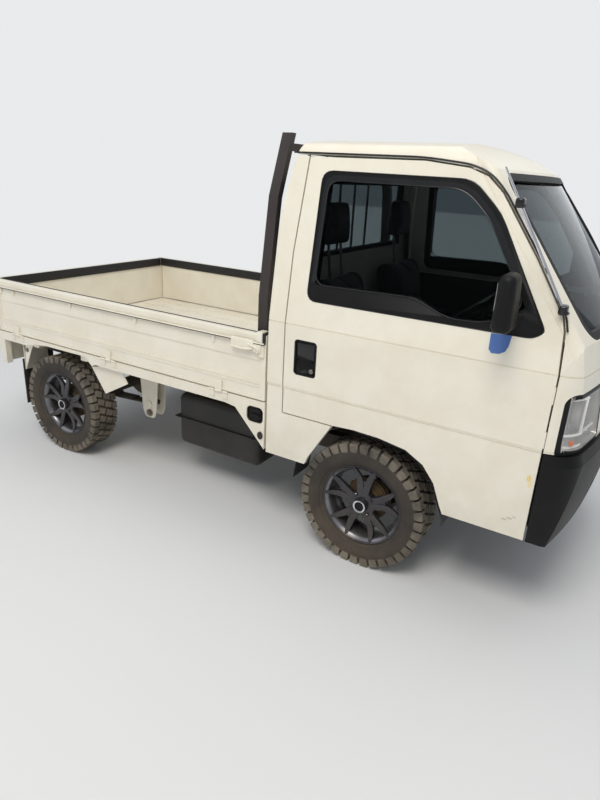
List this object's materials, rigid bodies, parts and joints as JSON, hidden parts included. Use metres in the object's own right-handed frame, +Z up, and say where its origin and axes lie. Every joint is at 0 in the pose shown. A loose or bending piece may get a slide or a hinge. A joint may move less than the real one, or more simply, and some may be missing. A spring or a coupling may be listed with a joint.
{
  "type": "kei truck",
  "caption": "Small forward-cab truck with a flat bed between three drop gates, opening doors, steering front wheels and a guard frame behind the cab.",
  "frame": {"origin": "on the ground under the middle of the truck", "axes": "+X forward, +Y to the left, +Z up"},
  "size_m": [3.255, 1.712, 1.745],
  "materials": {
    "body_paint": "warm off-white enamel, dusty",
    "black_trim": "grained black plastic",
    "clear_glass": "lightly tinted glass",
    "lamp_clear": "clear lens over a bright reflector",
    "lamp_red": "red and amber lens",
    "seat_cloth": "dark woven cloth",
    "floor_steel": "dark painted sheet",
    "chassis_black": "black chassis paint with dirt",
    "cast_metal": "dull casting",
    "exhaust_steel": "stained steel",
    "flap_rubber": "black rubber sheet",
    "plate_blank": "blank plate",
    "alloy_dark": "dark gunmetal paint",
    "tyre_rubber": "dusty rubber"
  },
  "bodies": {
    "truck": {"bed_floor": "body_paint", "bumper": "black_trim", "cab_back": "body_paint", "cab_floor": "floor_steel", "dashboard": "black_trim", "engine": "cast_metal", "exhaust": "exhaust_steel", "frame": "chassis_black", "front_axle": "chassis_black", "front_panel": "body_paint", "fuel_tank": "chassis_black", "glazing": "clear_glass", "guard_frame": "chassis_black", "headlamps": "lamp_clear", "lamp_bezels": "black_trim", "mud_flaps": "flap_rubber", "mudguard_brackets": "body_paint", "plates": "plate_blank", "rear_axle": "chassis_black", "roof": "body_paint", "seat_left": "seat_cloth", "seat_right": "seat_cloth", "tail_lamps": "lamp_red", "window_seals": "black_trim", "wipers": "black_trim"},
    "door_right_body": {"door_right": "body_paint", "door_glass_right": "clear_glass", "door_trim_right": "black_trim"},
    "gate_right_body": {"gate_right": "body_paint"},
    "knuckle_right_body": {"knuckle_right": "chassis_black"},
    "wheel_front_right": {"rim_front_right": "alloy_dark", "tyre_front_right": "tyre_rubber"},
    "wheel_rear_right": {"rim_rear_right": "alloy_dark", "tyre_rear_right": "tyre_rubber"},
    "door_left_body": {"door_left": "body_paint", "door_glass_left": "clear_glass", "door_trim_left": "black_trim"},
    "gate_left_body": {"gate_left": "body_paint"},
    "knuckle_left_body": {"knuckle_left": "chassis_black"},
    "wheel_front_left": {"rim_front_left": "alloy_dark", "tyre_front_left": "tyre_rubber"},
    "wheel_rear_left": {"rim_rear_left": "alloy_dark", "tyre_rear_left": "tyre_rubber"},
    "tailgate_body": {"tailgate": "body_paint"},
    "steering_wheel_body": {"steering_wheel": "black_trim"}
  },
  "joints": [
    {"name": "steer_left", "type": "hinge", "parent": "truck", "child": "knuckle_left_body", "pos_m": [0.7725, 0.498, 0.22], "axis": [0, -0.2419, 0.9703], "range_deg": [-34, 34]},
    {"name": "steer_right", "type": "hinge", "parent": "truck", "child": "knuckle_right_body", "pos_m": [0.7725, -0.498, 0.22], "axis": [0, 0.2419, 0.9703], "range_deg": [-34, 34]},
    {"name": "front_wheel_left_spin", "type": "hinge", "parent": "knuckle_left_body", "child": "wheel_front_left", "pos_m": [0.7725, 0.585, 0.284], "axis": [0, 1, 0], "continuous": true},
    {"name": "rear_wheel_left_spin", "type": "hinge", "parent": "truck", "child": "wheel_rear_left", "pos_m": [-1.1275, 0.585, 0.284], "axis": [0, 1, 0], "continuous": true},
    {"name": "front_wheel_right_spin", "type": "hinge", "parent": "knuckle_right_body", "child": "wheel_front_right", "pos_m": [0.7725, -0.585, 0.284], "axis": [0, 1, 0], "continuous": true},
    {"name": "rear_wheel_right_spin", "type": "hinge", "parent": "truck", "child": "wheel_rear_right", "pos_m": [-1.1275, -0.585, 0.284], "axis": [0, 1, 0], "continuous": true},
    {"name": "steering_wheel_turn", "type": "hinge", "parent": "truck", "child": "steering_wheel_body", "pos_m": [1.0575, -0.33, 1.138], "axis": [-0.6338, 0, 0.7735], "range_deg": [-612, 612]},
    {"name": "door_right_hinge", "type": "hinge", "parent": "truck", "child": "door_right_body", "pos_m": [1.4365, -0.69, 0.76], "axis": [0, 0, 1], "range_deg": [0, 65]},
    {"name": "door_left_hinge", "type": "hinge", "parent": "truck", "child": "door_left_body", "pos_m": [1.4365, 0.69, 0.76], "axis": [0, 0, -1], "range_deg": [0, 65]},
    {"name": "gate_right_drop", "type": "hinge", "parent": "truck", "child": "gate_right_body", "pos_m": [-0.6275, -0.695, 0.65], "axis": [1, 0, 0], "range_deg": [0, 170]},
    {"name": "gate_left_drop", "type": "hinge", "parent": "truck", "child": "gate_left_body", "pos_m": [-0.6275, 0.695, 0.65], "axis": [-1, 0, 0], "range_deg": [0, 170]},
    {"name": "tailgate_drop", "type": "hinge", "parent": "truck", "child": "tailgate_body", "pos_m": [-1.6225, 0, 0.65], "axis": [0, -1, 0], "range_deg": [0, 170]}
  ],
  "couplings": [
    {"joint": "steer_right", "follows": "steer_left", "ratio": 1},
    {"joint": "steering_wheel_turn", "follows": "steer_left", "ratio": 18}
  ]
}
